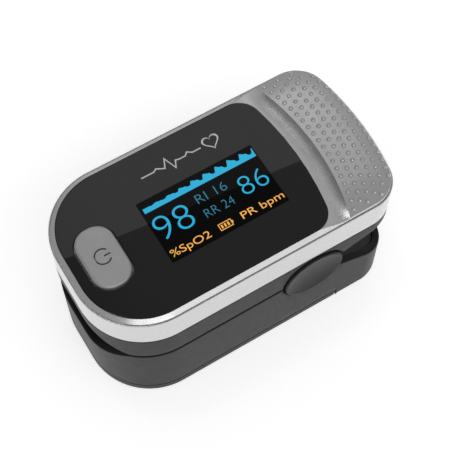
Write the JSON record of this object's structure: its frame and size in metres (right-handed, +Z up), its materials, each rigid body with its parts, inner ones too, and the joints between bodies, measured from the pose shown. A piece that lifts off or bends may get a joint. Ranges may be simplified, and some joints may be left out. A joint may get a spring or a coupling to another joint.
{
  "type": "fingertip pulse oximeter",
  "caption": "Clip-on fingertip pulse oximeter: a sprung clamshell round a padded finger channel, with a glossy display face, power button, dotted squeeze grip and sliding battery door.",
  "frame": {"origin": "centre of the underside, on the surface it stands on", "axes": "+X from the finger opening toward the squeeze grip, +Y across the object parallel to the hinge axis, +Z up through the display"},
  "size_m": [0.06, 0.0332, 0.0325],
  "materials": {
    "case_plastic": "satin dark grey moulded plastic",
    "silver_paint": "satin silver paint on moulded plastic",
    "face_gloss": "high gloss black",
    "button_plastic": "satin silver grey",
    "liner_plastic": "fine matte black",
    "pad_rubber": "soft matte silicone",
    "clear_window": "clear polished",
    "display_glass": "polished black display glass",
    "circuit_board": "green solder mask",
    "chip_black": "matte epoxy",
    "led_white": "clear resin",
    "flex_amber": "amber polyimide film",
    "cell_sleeve": "printed sleeve with no lettering",
    "contact_nickel": "bright nickel plate",
    "spring_steel": "bright drawn steel"
  },
  "bodies": {
    "lower_half": {"lower_case": "case_plastic", "lower_inner_cover": "liner_plastic", "lower_finger_pad": "pad_rubber", "sensor_window": "clear_window", "photodiode": "chip_black", "sensor_board": "circuit_board", "battery_cell_left": "cell_sleeve", "battery_cell_right": "cell_sleeve", "battery_spring_left": "contact_nickel", "battery_spring_right": "contact_nickel", "contact_bridge": "contact_nickel", "contact_positive": "contact_nickel", "contact_negative": "contact_nickel", "hinge_cap_back": "case_plastic", "hinge_cap_front": "case_plastic", "hinge_pin_back": "spring_steel", "hinge_pin_front": "spring_steel", "torsion_spring_back": "spring_steel", "torsion_spring_front": "spring_steel", "lower_screws": "spring_steel", "flex_cable": "flex_amber"},
    "upper_half": {"upper_case": "case_plastic", "side_band": "silver_paint", "top_bezel": "silver_paint", "faceplate": "face_gloss", "upper_inner_cover": "liner_plastic", "display_holder": "liner_plastic", "tact_switch": "liner_plastic", "upper_finger_pad": "pad_rubber", "display_gasket": "pad_rubber", "emitter_window": "clear_window", "oled_display": "display_glass", "main_board": "circuit_board", "emitter_board": "circuit_board", "main_chips": "chip_black", "emitter_leds": "led_white", "upper_screws": "spring_steel"},
    "button": {"power_button": "button_plastic", "switch_plunger": "liner_plastic"},
    "door": {"battery_door": "case_plastic"}
  },
  "joints": [
    {"name": "clip_hinge", "type": "hinge", "parent": "lower_half", "child": "upper_half", "pos_m": [0.0105, 0, 0.0173], "axis": [0, 1, 0], "range_deg": [0, 26], "stiffness_Nm_per_rad": 0.06, "springref_deg": -22.92, "deforming": ["torsion_spring_back", "torsion_spring_front", "flex_cable"]},
    {"name": "button_press", "type": "slide", "parent": "upper_half", "child": "button", "axis": [0, 0, -1], "range_m": [0, 0.0005], "stiffness_N_per_m": 1500, "springref_m": -0.0003},
    {"name": "door_slide", "type": "slide", "parent": "lower_half", "child": "door", "axis": [-1, 0, 0], "range_m": [0, 0.05]}
  ]
}
